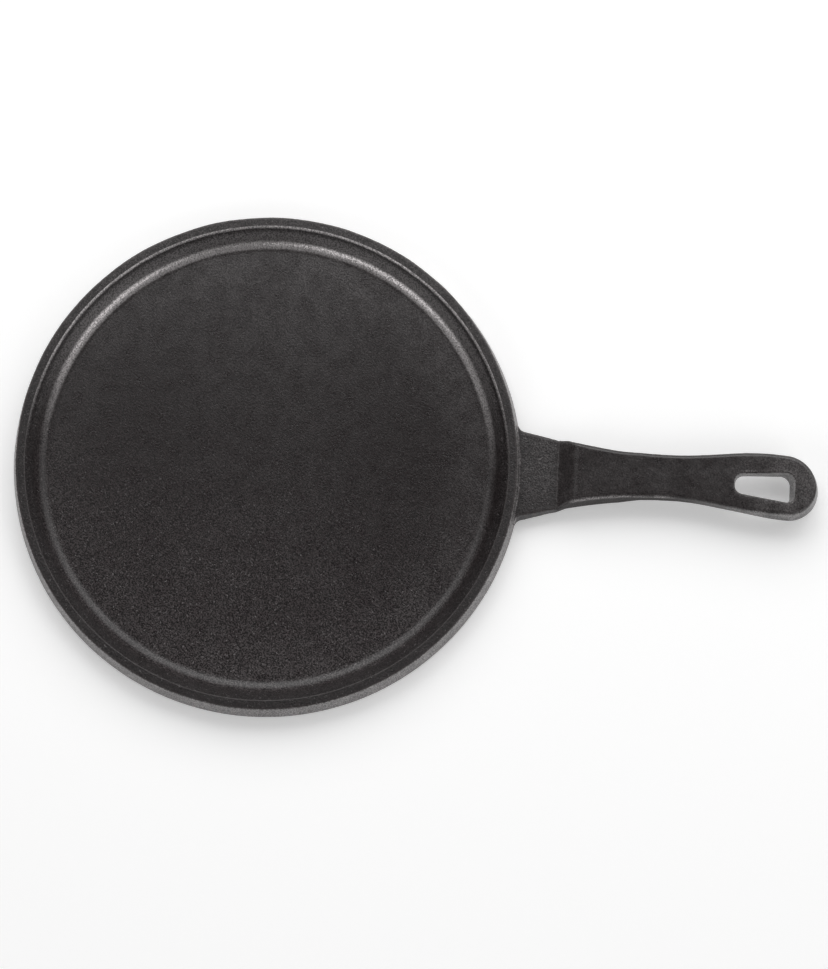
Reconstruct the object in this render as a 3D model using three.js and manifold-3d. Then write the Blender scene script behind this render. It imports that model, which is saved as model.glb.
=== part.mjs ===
// A cast iron tawa: a flat round hot plate with a low rim, and a long cast handle screwed to its neck.
// Millimetres. The plate lies on z = 0, its centre is the origin, and the handle runs out along +X.
import * as THREE from 'three';
import { mergeVertices } from 'three/addons/utils/BufferGeometryUtils.js';
import Module from 'manifold-3d';

// The plate
const rimRadius = 130;
const rimHeight = 14;
const rimWidth = 4.7;
const floorThickness = 5.5;
const innerWallSlope = 1;
const floorFillet = 8;
const rimOuterRound = 1.2;
const rimInnerRound = 0.5;
const footRound = 1.5;

// Every outside wall leans out by this much for each millimetre down, so that the casting leaves its mould
const draft = 0.158;

// The neck, cast with the plate
const neckReach = 21;
const neckWidth = 37.6;
const neckSideSlope = 0.25;
const neckTop = 10;
const neckRiseUnderneath = 2.8;
const neckSideFillet = 4;
const neckTopFillet = 2;
const neckEdgeRound = 1.3;

// The tang, the tongue of the neck that the handle sits on
const tangLength = 30;
const tangWidth = 17;
const tangThickness = 5.5;
const tangCorner = 5;

// The handle, measured from its joint with the neck
const handleLength = 134.4;
const rampLength = 8.6;
const rampRise = 6;
const rampStep = 0.8;
const waistDistance = 54;
const waistWidth = 24;
const waistFlare = 1.85;
const swellStart = 59;
const bulbLength = 22;
const bulbWidth = 33.7;
const waistThickness = 7.6;
const bulbThickness = 11.8;
const thinningLength = 14;
const thickeningStart = 90;
const handleRise = 2.2;
const handleTopRound = 2;
const handleFootRound = 2;

// The casting is a little out of line: it sits to one side on the neck, and its end leans to the other
const handleShift = 0.85;
const handleLean = 4;

// The shallow hollow under the handle, between the socket and the slot
const hollowWall = 4.2;
const hollowDepth = 2.4;
const hollowMargin = 7;
const hollowEndLength = 8;

// The hanging slot, wider towards the handle's end
const slotToEnd = 12.2;
const slotLength = 31.5;
const slotInnerWidth = 9.8;
const slotOuterWidth = 16.4;
const slotCorner = 4.6;
const slotOffset = 1.35;
const slotEndDraft = 0.27;
const slotLipRound = 0.8;

// The countersunk screw, and the clearance of every fitted face
const screwToTangEnd = 12;
const screwRadius = 3;
const screwHeadRadius = 5.65;
const screwHeadRim = 0.5;
const screwGrip = 4;
const screwSlotWidth = 1.6;
const screwSlotDepth = 1.5;
const clearance = 0.3;

// Fineness of the curved faces
const plateSegments = 128;
const screwSegments = 32;
const roundSteps = 4;
const neckSteps = 14;
const rampSteps = 7;
const sideSteps = 26;
const tipSteps = 12;
const hollowSteps = 20;

const jointX = rimRadius + neckReach;
const footRadius = rimRadius + rimHeight * draft;
const tangUnderside = neckTop - tangThickness;
const rootThickness = rampRise + tangThickness;
const socketEnd = tangLength + clearance;
const slotStart = handleLength - slotToEnd - slotLength;
const screwX = jointX + tangLength - screwToTangEnd;
const screwTip = neckTop + screwGrip;

const wasm = await Module();
wasm.setup();

const flat = (x, y) => new THREE.Vector2(x, y);

function smooth(t) {
  const s = THREE.MathUtils.clamp(t, 0, 1);
  return s * s * (3 - 2 * s);
}

// Rounds the corners of an outline. A corner is [x, y, radius], and a radius of 0 keeps it sharp.
function roundedOutline(corners) {
  return corners.flatMap(([x, y, radius], i) => {
    const corner = flat(x, y);
    if (radius === 0) {
      return [corner];
    }
    const before = corners.at(i - 1);
    const after = corners[(i + 1) % corners.length];
    const back = flat(before[0], before[1]).sub(corner).normalize();
    const ahead = flat(after[0], after[1]).sub(corner).normalize();
    const half = Math.acos(back.dot(ahead)) / 2;
    const centre = back.clone().add(ahead).normalize().multiplyScalar(radius / Math.sin(half)).add(corner);
    const arm = back.clone().multiplyScalar(radius / Math.tan(half)).add(corner).sub(centre);
    const turn = (2 * half - Math.PI) * Math.sign(back.cross(ahead));
    const steps = Array.from({ length: roundSteps + 1 }, (_, s) => s / roundSteps);
    return steps.map((s) => arm.clone().rotateAround(flat(0, 0), turn * s).add(centre));
  });
}

// Skins a stack of equal rings of points. Each end is closed by a strip across its ring.
function skinRings(rings) {
  const count = rings[0].length;
  const index = [];
  for (let r = 0; r < rings.length - 1; r += 1) {
    for (let i = 0; i < count; i += 1) {
      const a = r * count + i;
      const b = r * count + (i + 1) % count;
      index.push(a, b, b + count, a, b + count, a + count);
    }
  }
  const last = (rings.length - 1) * count;
  for (let i = 0; i + 1 <= count - 2 - i; i += 1) {
    const across = count - 1 - i;
    index.push(across, across - 1, i + 1, across, i + 1, i);
    index.push(last + i, last + i + 1, last + across - 1, last + i, last + across - 1, last + across);
  }
  const geometry = new THREE.BufferGeometry();
  const positions = rings.flat().flatMap((p) => [p.x, p.y, p.z]);
  geometry.setAttribute('position', new THREE.Float32BufferAttribute(positions, 3));
  geometry.setIndex(index);
  return geometry;
}

// Turns a closed geometry into a solid that can be joined and cut
function solid(geometry) {
  const bare = geometry.clone();
  bare.deleteAttribute('normal');
  bare.deleteAttribute('uv');
  const merged = mergeVertices(bare, 1e-4);
  const corners = Array.from(merged.index.array);
  const kept = [];
  for (let i = 0; i < corners.length; i += 3) {
    const [a, b, c] = corners.slice(i, i + 3);
    if (a !== b && b !== c && c !== a) {
      kept.push(a, b, c);
    }
  }
  return new wasm.Manifold(new wasm.Mesh({
    numProp: 3,
    vertProperties: new Float32Array(merged.attributes.position.array),
    triVerts: new Uint32Array(kept),
  }));
}

// Turns a finished solid into a named mesh
function finished(name, body, material) {
  const { vertProperties, triVerts } = body.getMesh();
  const geometry = new THREE.BufferGeometry();
  geometry.setAttribute('position', new THREE.BufferAttribute(vertProperties, 3));
  geometry.setIndex(new THREE.BufferAttribute(triVerts, 1));
  geometry.computeVertexNormals();
  const mesh = new THREE.Mesh(geometry, material);
  mesh.name = name;
  return mesh;
}

// Revolves a profile of radius and height about the Z axis
function turned(profile, segments) {
  const geometry = new THREE.LatheGeometry(profile, segments);
  geometry.rotateX(Math.PI / 2);
  return solid(geometry);
}

// An upright block with the given outline, between two heights
function block(outline, low, high) {
  const geometry = new THREE.ExtrudeGeometry(new THREE.Shape(outline), {
    depth: high - low,
    bevelEnabled: false,
  });
  geometry.translate(0, 0, low);
  return solid(geometry);
}

// The plate: floor, sloping inner wall, flat rim and drafted outer wall in one turned profile
function plateBody() {
  const landRadius = rimRadius - rimWidth;
  const floorRadius = landRadius - (rimHeight - floorThickness) / innerWallSlope;
  return turned(roundedOutline([
    [0, 0, 0],
    [footRadius, 0, footRound],
    [rimRadius, rimHeight, rimOuterRound],
    [landRadius, rimHeight, rimInnerRound],
    [floorRadius, floorThickness, floorFillet],
    [0, floorThickness, 0],
  ]), plateSegments);
}

// The neck's straight sides, and the fillet that sweeps them into the plate's wall
function neckHalfWidth(x) {
  const slant = Math.hypot(1, neckSideSlope);
  const sideAt = (place) => neckWidth / 2 + (jointX - place) * neckSideSlope;
  const filletY = (place) => sideAt(place) + neckSideFillet * slant;
  const reach = footRadius + neckSideFillet;
  let filletX = footRadius;
  for (let i = 0; i < 30; i += 1) {
    filletX = Math.sqrt(reach ** 2 - filletY(filletX) ** 2);
  }
  const leavesPlate = filletX * footRadius / reach;
  const meetsSide = filletX - neckSideFillet * neckSideSlope / slant;
  if (x > meetsSide) {
    return sideAt(x);
  }
  const along = Math.max(x, leavesPlate) - filletX;
  return filletY(filletX) - Math.sqrt(neckSideFillet ** 2 - along ** 2);
}

// How far the neck's top face lifts in the fillet at the rim's wall
function neckLift(radius) {
  const wallRadius = rimRadius + (rimHeight - neckTop) * draft;
  const along = THREE.MathUtils.clamp(wallRadius + neckTopFillet - radius, 0, neckTopFillet);
  return neckTopFillet - Math.sqrt(neckTopFillet ** 2 - along ** 2);
}

function neckSection(x) {
  const half = neckHalfWidth(x);
  const rise = neckRiseUnderneath * smooth((x - rimRadius) / neckReach);
  const underside = tangUnderside - neckRiseUnderneath + rise;
  const topHalf = half - (neckTop - underside) * draft;
  const outline = roundedOutline([
    [-half, underside, neckEdgeRound / 2],
    [half, underside, neckEdgeRound / 2],
    [topHalf, neckTop, neckEdgeRound],
    [-topHalf, neckTop, neckEdgeRound],
  ]);
  const inner = topHalf - neckEdgeRound * 2;
  const across = Array.from({ length: neckSteps + 1 }, (_, i) => {
    return flat(inner * (1 - 2 * i / neckSteps), neckTop);
  });
  const rightHalf = outline.slice(0, 3 * (roundSteps + 1));
  const leftTop = outline.slice(3 * (roundSteps + 1));
  return [...rightHalf, ...across, ...leftTop].map((p) => {
    const lift = p.y > tangUnderside ? neckLift(Math.hypot(x, p.x)) : 0;
    return new THREE.Vector3(x, p.x, p.y + lift);
  });
}

function neckBody() {
  const start = rimRadius - rimWidth;
  const filletEnd = footRadius + neckSideFillet;
  const places = [];
  for (let x = start; x < filletEnd; x += neckSideFillet / neckSteps) {
    places.push(x);
  }
  for (let s = 0; s <= roundSteps; s += 1) {
    places.push(THREE.MathUtils.lerp(filletEnd, jointX, s / roundSteps));
  }
  return solid(skinRings(places.map(neckSection)));
}

// The tongue outline, from the middle of the neck to its rounded end, with room around it when asked for
function tongueOutline(room) {
  const half = tangWidth / 2 + room;
  const root = jointX - neckReach / 2;
  const end = jointX + tangLength + room;
  return roundedOutline([
    [root, -half, 0],
    [end, -half, tangCorner],
    [end, half, tangCorner],
    [root, half, 0],
  ]);
}

// The conical seat and the shank hole for the screw, open downwards
function screwHole() {
  const seat = tangUnderside + screwHeadRim;
  const cone = screwHeadRadius - screwRadius;
  return turned([
    flat(0, 0),
    flat(screwHeadRadius + clearance, 0),
    flat(screwHeadRadius + clearance, seat),
    flat(screwRadius + clearance, seat + cone),
    flat(screwRadius + clearance, screwTip + clearance),
    flat(0, screwTip + clearance),
  ], screwSegments).translate([screwX, 0, 0]);
}

function panBody() {
  const tang = block(tongueOutline(0), tangUnderside, neckTop);
  return plateBody().add(neckBody()).add(tang).subtract(screwHole());
}

// Half of the handle's width: a flare from the waist back to the root, and a swell out to the bulb
function handleHalfWidth(distance) {
  const flare = Math.max(1 - distance / waistDistance, 0) ** waistFlare;
  const swell = smooth((distance - swellStart) / (handleLength - bulbLength - swellStart));
  return (waistWidth + (neckWidth - waistWidth) * flare + (bulbWidth - waistWidth) * swell) / 2;
}

// How far the middle of the handle is to the left of the plate's centre line
function handleCentre(distance) {
  return handleShift - handleLean * (distance / handleLength) ** 3;
}

function handleTop(distance) {
  return neckTop + rampRise + handleRise * smooth(distance / handleLength);
}

// The top face with its ramp up from the neck
function handleTopWithRamp(distance) {
  const climb = THREE.MathUtils.clamp(distance / rampLength, 0, 1);
  return handleTop(distance) - (rampRise - rampStep) * (1 - climb);
}

// The underside stays flush with the tang, then thins to the waist and thickens again to the bulb
function handleUnderside(distance) {
  const toWaist = smooth((distance - socketEnd) / thinningLength);
  const toBulb = smooth((distance - thickeningStart) / (handleLength - slotToEnd - thickeningStart));
  const thickness = rootThickness
    + (waistThickness - rootThickness) * toWaist
    + (bulbThickness - waistThickness) * toBulb;
  return handleTop(distance) - thickness;
}

// One side of the handle's outline at its widest level, from the root to the tip
function handleSide() {
  const endRadius = bulbWidth / 2;
  const endCentre = handleLength - endRadius;
  const places = [];
  for (let step = -2; step < rampSteps; step += 1) {
    places.push(rampLength * step / rampSteps);
  }
  for (let step = 0; step < sideSteps; step += 1) {
    places.push(THREE.MathUtils.lerp(rampLength, endCentre, step / sideSteps));
  }
  const side = places.map((d) => flat(d, -handleHalfWidth(Math.max(d, 0))));
  for (let step = 0; step < tipSteps; step += 1) {
    const turn = step * Math.PI / 2 / tipSteps;
    side.push(flat(endCentre + endRadius * Math.sin(turn), -endRadius * Math.cos(turn)));
  }
  side.push(flat(handleLength, 0));
  return side;
}

// A ring around the handle. The level gives each place its inset from the widest outline and its height.
function handleRing(level) {
  const side = handleSide();
  const tip = side.length - 1;
  const moved = side.map((p, i) => {
    const before = side[Math.max(i - 1, 0)];
    const after = i === tip ? flat(p.x, 1) : side[i + 1];
    const along = after.clone().sub(before).normalize();
    const { inset, height } = level(p.x);
    const place = i === tip ? flat(p.x - inset, 0) : flat(p.x - along.y * inset, p.y + along.x * inset);
    return new THREE.Vector3(place.x, place.y, height);
  });
  const mirrored = moved.slice(0, tip).reverse().map((p) => new THREE.Vector3(p.x, -p.y, p.z));
  return [...moved, ...mirrored].map((p) => {
    return new THREE.Vector3(jointX + p.x, p.y + handleCentre(Math.max(p.x, 0)), p.z);
  });
}

// The outside of the handle, as rings from its rounded foot up the drafted wall to its rounded top
function handleBlank() {
  const rings = [];
  for (let s = 0; s <= roundSteps; s += 1) {
    const turn = s * Math.PI / 2 / roundSteps;
    rings.push(handleRing((d) => ({
      inset: handleFootRound * (1 - Math.sin(turn)),
      height: handleUnderside(d) + handleFootRound * (1 - Math.cos(turn)),
    })));
  }
  for (let s = 0; s <= roundSteps; s += 1) {
    const turn = s * Math.PI / 2 / roundSteps;
    rings.push(handleRing((d) => {
      const wallTop = handleTopWithRamp(d) - handleTopRound;
      return {
        inset: (wallTop - handleUnderside(d)) * draft + handleTopRound * (1 - Math.cos(turn)),
        height: wallTop + handleTopRound * Math.sin(turn),
      };
    }));
  }
  return solid(skinRings(rings));
}

// The slot's cutter. Its sides are upright, its ends close in as it goes down, and its mouth is rounded.
function slotCutter() {
  const ring = (drop, lip) => {
    const start = slotStart + drop * slotEndDraft - lip;
    const end = slotStart + slotLength - drop * slotEndDraft + lip;
    const innerHalf = slotInnerWidth / 2 + lip;
    const outerHalf = slotOuterWidth / 2 + lip;
    const corner = slotCorner + lip;
    const outline = roundedOutline([
      [start, -innerHalf, corner],
      [end, -outerHalf, corner],
      [end, outerHalf, corner],
      [start, innerHalf, corner],
    ]);
    return outline.map((p) => {
      const y = p.y + handleCentre(p.x) - slotOffset;
      return new THREE.Vector3(jointX + p.x, y, handleTop(p.x) - drop);
    });
  };
  const rings = [ring(bulbThickness + 2, 0)];
  for (let s = 0; s <= roundSteps; s += 1) {
    const turn = s * Math.PI / 2 / roundSteps;
    rings.push(ring(slotLipRound * (1 - Math.sin(turn)), slotLipRound * (1 - Math.cos(turn))));
  }
  rings.push(ring(-2, slotLipRound));
  return solid(skinRings(rings));
}

// The cutter of the hollow underneath follows the handle's sides and rounds off at both ends
function hollowCutter() {
  const start = socketEnd + hollowMargin;
  const end = slotStart - hollowMargin;
  const ring = (inset, lift) => {
    const side = Array.from({ length: hollowSteps + 1 }, (_, i) => {
      const t = (1 - Math.cos(Math.PI * i / hollowSteps)) / 2;
      const d = THREE.MathUtils.lerp(start + inset, end - inset, t);
      const toEnd = THREE.MathUtils.clamp(Math.min(d - start - inset, end - inset - d) / hollowEndLength, 0, 1);
      const half = (handleHalfWidth(d) - hollowWall - inset) * Math.sqrt(1 - (1 - toEnd) ** 2);
      return flat(d, -half);
    });
    const mirrored = side.slice(1, -1).reverse().map((p) => flat(p.x, -p.y));
    return [...side, ...mirrored].map((p) => {
      return new THREE.Vector3(jointX + p.x, p.y + handleCentre(p.x), handleUnderside(p.x) + lift);
    });
  };
  return solid(skinRings([
    ring(0, -1),
    ring(0, 0),
    ring(hollowDepth * draft, hollowDepth * 0.6),
    ring(hollowDepth, hollowDepth),
  ]));
}

function handleBody() {
  const front = jointX + clearance;
  const width = neckWidth;
  const keep = block([
    flat(front, -width),
    flat(front + handleLength, -width),
    flat(front + handleLength, width),
    flat(front, width),
  ], 0, neckTop + rampRise + handleRise + 1);
  return handleBlank()
    .intersect(keep)
    .subtract(block(tongueOutline(clearance), 0, neckTop))
    .subtract(screwHole())
    .subtract(slotCutter())
    .subtract(hollowCutter());
}

// A slotted countersunk screw with its head flush in the tang's underside
function screwBody() {
  const cone = screwHeadRadius - screwRadius;
  const seat = tangUnderside + screwHeadRim;
  const shank = turned([
    flat(0, tangUnderside),
    flat(screwHeadRadius, tangUnderside),
    flat(screwHeadRadius, seat),
    flat(screwRadius, seat + cone),
    flat(screwRadius, screwTip),
    flat(0, screwTip),
  ], screwSegments).translate([screwX, 0, 0]);
  const slot = block([
    flat(screwX - screwSlotWidth / 2, -screwHeadRadius - 1),
    flat(screwX + screwSlotWidth / 2, -screwHeadRadius - 1),
    flat(screwX + screwSlotWidth / 2, screwHeadRadius + 1),
    flat(screwX - screwSlotWidth / 2, screwHeadRadius + 1),
  ], tangUnderside - 1, tangUnderside + screwSlotDepth);
  return shank.subtract(slot);
}

const seasonedIron = new THREE.MeshStandardMaterial({ color: 0x373434, roughness: 0.62, metalness: 0.85 });
const smoothIron = new THREE.MeshStandardMaterial({ color: 0x333030, roughness: 0.52, metalness: 0.85 });
const blackenedSteel = new THREE.MeshStandardMaterial({ color: 0x4a4848, roughness: 0.45, metalness: 0.9 });

const tawa = new THREE.Group();
tawa.add(finished('pan', panBody(), seasonedIron));
tawa.add(finished('handle', handleBody(), smoothIron));
tawa.add(finished('handle_screw', screwBody(), blackenedSteel));

export default tawa;
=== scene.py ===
import math

import bmesh
import bpy
from mathutils import Matrix, Vector, noise


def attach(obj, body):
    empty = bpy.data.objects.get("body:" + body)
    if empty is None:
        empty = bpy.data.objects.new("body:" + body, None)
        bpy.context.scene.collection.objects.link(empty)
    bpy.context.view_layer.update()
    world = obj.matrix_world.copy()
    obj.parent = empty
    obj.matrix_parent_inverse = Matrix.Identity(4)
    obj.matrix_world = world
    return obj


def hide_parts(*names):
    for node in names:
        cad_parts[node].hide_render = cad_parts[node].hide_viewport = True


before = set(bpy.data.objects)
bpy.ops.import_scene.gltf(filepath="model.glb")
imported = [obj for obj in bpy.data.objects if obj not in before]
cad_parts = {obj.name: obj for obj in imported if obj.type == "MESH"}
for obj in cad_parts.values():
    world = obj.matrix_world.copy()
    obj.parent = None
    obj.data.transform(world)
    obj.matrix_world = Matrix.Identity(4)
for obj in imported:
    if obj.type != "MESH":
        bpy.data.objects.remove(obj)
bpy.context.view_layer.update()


# The plate is one casting in grey iron, poured in a sand mould: a flat cooking floor inside a low rim.
# Its floor has been scraped and burnt in with oil until it is nearly black, and its rim and the wide neck
# on its side keep the coarse skin of the sand. Lengths are in millimetres until a mesh is made.

RIM_RADIUS = 130.0
RIM_HEIGHT = 14.0
RIM_WIDTH = 4.7
RIM_OUTER_ROUND = 1.2
RIM_INNER_ROUND = 0.9
PLATE_FOOT_ROUND = 1.5
FLOOR_THICKNESS = 5.5
FLOOR_FILLET = 8.0
DRAFT = 0.158  # how far each outside wall leans out for each millimetre down
FOOT_RADIUS = RIM_RADIUS + RIM_HEIGHT * DRAFT
RIM_INSIDE = RIM_RADIUS - RIM_WIDTH
FLOOR_EDGE = RIM_INSIDE - (RIM_HEIGHT - FLOOR_THICKNESS)
PLAIN_FLOOR = 100.0  # the part of the floor with no relief, which needs few points
AROUND_THE_RIM = 720


def rounded(corners, steps):
    """An outline of corners (x, y, radius) with each corner turned into an arc of so many steps."""
    outline = []
    for i, (x, y, radius) in enumerate(corners):
        here = Vector((x, y))
        if radius == 0:
            outline.append(here)
            continue
        back = (Vector(corners[i - 1][:2]) - here).normalized()
        ahead = (Vector(corners[(i + 1) % len(corners)][:2]) - here).normalized()
        half = math.acos(max(-1.0, min(1.0, back.dot(ahead)))) / 2
        centre = here + (back + ahead).normalized() * (radius / math.sin(half))
        arm = here + back * (radius / math.tan(half)) - centre
        turn = (2 * half - math.pi) * math.copysign(1, back.x * ahead.y - back.y * ahead.x)
        outline += [centre + Matrix.Rotation(turn * s / steps, 2) @ arm for s in range(steps + 1)]
    return outline


def filled(points, longest, margin=0.25):
    """Adds points along each straight part, no further apart than longest allows at its middle. The first
    and the last lie close to its ends, so that smooth shading stays in the rounds."""
    result = []
    for a, b in zip(points, points[1:]):
        result.append(a)
        length = (b - a).length
        if length > 3 * margin:
            between = length - 2 * margin
            count = max(1, math.ceil(between / longest((a + b) / 2)))
            for i in range(count + 1):
                result.append(a.lerp(b, (margin + between * i / count) / length))
    return result + [points[-1]]


def made(name, points, faces):
    """An object from points in millimetres, with its faces turned outwards."""
    mesh = bpy.data.meshes.new(name)
    mesh.from_pydata([Vector(p) * 0.001 for p in points], [], faces)
    shape = bmesh.new()
    shape.from_mesh(mesh)
    bmesh.ops.remove_doubles(shape, verts=shape.verts, dist=1e-7)
    bmesh.ops.recalc_face_normals(shape, faces=shape.faces)
    shape.to_mesh(mesh)
    shape.free()
    piece = bpy.data.objects.new(name, mesh)
    bpy.context.scene.collection.objects.link(piece)
    return piece


def turned(name, profile, segments, centre=(0.0, 0.0)):
    """Turns a profile of radius and height, from the axis out and back to the axis, about an upright line."""
    points, rows = [], []
    for radius, height in profile:
        if radius < 1e-6:
            rows.append([len(points)] * segments)
            points.append((centre[0], centre[1], height))
        else:
            rows.append(list(range(len(points), len(points) + segments)))
            for i in range(segments):
                turn = 2 * math.pi * i / segments
                x, y = radius * math.cos(turn), radius * math.sin(turn)
                points.append((centre[0] + x, centre[1] + y, height))
    faces = []
    for low, high in zip(rows, rows[1:]):
        for i in range(segments):
            j = (i + 1) % segments
            corners = list(dict.fromkeys((low[i], low[j], high[j], high[i])))
            if len(corners) > 2:
                faces.append(corners)
    return made(name, points, faces)


plate_profile = rounded([
    (0, 0, 0),
    (FOOT_RADIUS, 0, PLATE_FOOT_ROUND),
    (RIM_RADIUS, RIM_HEIGHT, RIM_OUTER_ROUND),
    (RIM_INSIDE, RIM_HEIGHT, RIM_INNER_ROUND),
    (FLOOR_EDGE, FLOOR_THICKNESS, FLOOR_FILLET),
    (PLAIN_FLOOR, FLOOR_THICKNESS, 0),
    (0, FLOOR_THICKNESS, 0),
], steps=9)
plate_profile = filled(plate_profile, lambda middle: 9.0 if middle.x < PLAIN_FLOOR else 0.9)
pan_casting = turned("pan_casting", plate_profile, AROUND_THE_RIM)

# The neck is wide where it leaves the plate and carries on, narrower and thinner, as a tang inside the handle
NECK_TOP = 10.0
NECK_REACH = 21.0
NECK_WIDTH = 37.6
NECK_SLOPE = 0.25
NECK_SIDE_FILLET = 4.0
NECK_TOP_FILLET = 2.0
NECK_EDGE_ROUND = 1.3
NECK_RISE = 2.8
JOINT = RIM_RADIUS + NECK_REACH
TANG_LENGTH = 30.0
TANG_WIDTH = 17.0
TANG_THICKNESS = 5.5
TANG_CORNER = 5.0
TANG_UNDERSIDE = NECK_TOP - TANG_THICKNESS
CLEARANCE = 0.3


def eased(t):
    """From 0 to 1, starting and ending gently."""
    t = min(max(t, 0.0), 1.0)
    return t * t * (3 - 2 * t)


def with_sides(outline, steps, counts):
    """A rounded outline with a fixed count of points added along each straight side."""
    result = []
    for corner, count in enumerate(counts):
        arc = outline[corner * (steps + 1):(corner + 1) * (steps + 1)]
        ahead = outline[(corner + 1) * (steps + 1) % len(outline)]
        result += arc + [arc[-1].lerp(ahead, (i + 1) / (count + 1)) for i in range(count)]
    return result


def skinned(name, rings):
    """Closed rings of equal count, skinned one after another, with a flat cap at each end."""
    count = len(rings[0])
    last = (len(rings) - 1) * count
    faces = []
    for start in range(0, last, count):
        for i in range(count):
            j = (i + 1) % count
            faces.append([start + i, start + j, start + count + j, start + count + i])
    faces.append(list(range(count))[::-1])
    faces.append(list(range(last, last + count)))
    return made(name, [p for ring in rings for p in ring], faces)


def neck_half_width(x):
    """The neck's straight side, and the fillet that sweeps it into the round of the plate."""
    slant = math.hypot(1, NECK_SLOPE)

    def side(place):
        return NECK_WIDTH / 2 + (JOINT - place) * NECK_SLOPE

    to_centre = FOOT_RADIUS + NECK_SIDE_FILLET
    fillet_x = FOOT_RADIUS
    for _ in range(30):  # closes in on the place where the fillet touches both the round and the side
        fillet_x = math.sqrt(to_centre ** 2 - (side(fillet_x) + NECK_SIDE_FILLET * slant) ** 2)
    fillet_y = side(fillet_x) + NECK_SIDE_FILLET * slant
    leaves = fillet_x * FOOT_RADIUS / to_centre
    if x > fillet_x - NECK_SIDE_FILLET * NECK_SLOPE / slant:
        return side(x)
    return fillet_y - math.sqrt(NECK_SIDE_FILLET ** 2 - (max(x, leaves) - fillet_x) ** 2)


def neck_section(x):
    """The neck cut across: drafted sides, rounded edges, and a fillet that lifts its top into the plate."""
    half = neck_half_width(x)
    underside = TANG_UNDERSIDE - NECK_RISE * (1 - eased((x - RIM_RADIUS) / NECK_REACH))
    top_half = half - (NECK_TOP - underside) * DRAFT
    arc_steps = 6
    outline = with_sides(rounded([
        (-half, underside, NECK_EDGE_ROUND / 2),
        (half, underside, NECK_EDGE_ROUND / 2),
        (top_half, NECK_TOP, NECK_EDGE_ROUND),
        (-top_half, NECK_TOP, NECK_EDGE_ROUND),
    ], arc_steps), arc_steps, counts=(30, 6, 48, 6))
    wall = RIM_RADIUS + (RIM_HEIGHT - NECK_TOP) * DRAFT
    ring = []
    for p in outline:
        along = min(max(wall + NECK_TOP_FILLET - math.hypot(x, p.x), 0.0), NECK_TOP_FILLET)
        lift = NECK_TOP_FILLET - math.sqrt(NECK_TOP_FILLET ** 2 - along ** 2)
        ring.append((x, p.x, p.y + (lift if p.y > TANG_UNDERSIDE else 0.0)))
    return ring


NECK_SPACING = 0.4
neck_sections = int((JOINT - RIM_INSIDE) / NECK_SPACING)
neck_places = [RIM_INSIDE + NECK_SPACING * i for i in range(neck_sections)] + [JOINT]
neck = skinned("neck", [neck_section(x) for x in neck_places])

TANG_OVERLAP = 9.0  # how far the tang starts inside the neck
TANG_SINK = 0.02    # keeps its top off the neck's, so that the two join cleanly


def tongue(room):
    """The outline of the tang, the tongue that runs on from the neck inside the handle."""
    half = TANG_WIDTH / 2 + room
    start, end = JOINT - TANG_OVERLAP, JOINT + TANG_LENGTH + room
    return rounded([
        (start, -half, 0),
        (end, -half, TANG_CORNER),
        (end, half, TANG_CORNER),
        (start, half, 0),
    ], steps=10)


def block(name, outline, low, high):
    """A block that stands upright on an outline."""
    return skinned(name, [[(p.x, p.y, z) for p in outline] for z in (low, high)])


tang = block("tang", tongue(0), TANG_UNDERSIDE, NECK_TOP - TANG_SINK)

SCREW_TO_TANG_END = 12.0
SCREW_X = JOINT + TANG_LENGTH - SCREW_TO_TANG_END
SCREW_RADIUS = 3.0
SCREW_GRIP = 4.0
SCREW_TIP = NECK_TOP + SCREW_GRIP
HEAD_RADIUS = 5.65
HEAD_RIM = 0.5
HEAD_SEAT = TANG_UNDERSIDE + HEAD_RIM
AROUND_THE_HOLE = 64


def screw_hole():
    """The countersunk hole for the screw, open below."""
    head, shank = HEAD_RADIUS + CLEARANCE, SCREW_RADIUS + CLEARANCE
    return turned("screw_hole", [Vector(p) for p in (
        (0, 0),
        (head, 0),
        (head, HEAD_SEAT),
        (shank, HEAD_SEAT + HEAD_RADIUS - SCREW_RADIUS),
        (shank, SCREW_TIP + CLEARANCE),
        (0, SCREW_TIP + CLEARANCE),
    )], AROUND_THE_HOLE, (SCREW_X, 0.0))


def combined(piece, operation, *others):
    """Joins or cuts closed pieces, keeps the result as the piece's own mesh, and removes the others."""
    for other in others:
        step = piece.modifiers.new(operation.title(), "BOOLEAN")
        step.operation = operation
        step.solver = "EXACT"
        step.object = other
    bpy.context.view_layer.update()
    result = bpy.data.meshes.new_from_object(piece.evaluated_get(bpy.context.evaluated_depsgraph_get()))
    piece.modifiers.clear()
    piece.data = result
    result.name = piece.name
    for other in others:
        bpy.data.objects.remove(other)
    return piece


combined(pan_casting, "UNION", neck, tang)
combined(pan_casting, "DIFFERENCE", screw_hole())


def mark_edges(piece, slight=0.06, more=0.3):
    """Marks how far each point stands on an outer edge, which gets rubbed bare: not at all where the skin
    turns by a slight bend a millimetre, and fully where it turns by so much more."""
    mesh = piece.data
    turn = [0.0] * len(mesh.vertices)
    count = [0] * len(mesh.vertices)
    normals = [n.vector for n in mesh.vertex_normals]
    for edge in mesh.edges:
        a, b = edge.vertices
        along = (mesh.vertices[b].co - mesh.vertices[a].co) * 1000
        bend = (normals[b] - normals[a]).dot(along) / max(along.length_squared, 0.01)
        for end in (a, b):
            turn[end] += bend
            count[end] += 1
    rubbed = mesh.attributes.new("rubbed", "FLOAT", "POINT")
    for i, (total, n) in enumerate(zip(turn, count)):
        rubbed.data[i].value = eased((total / max(n, 1) - slight) / more)


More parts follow.
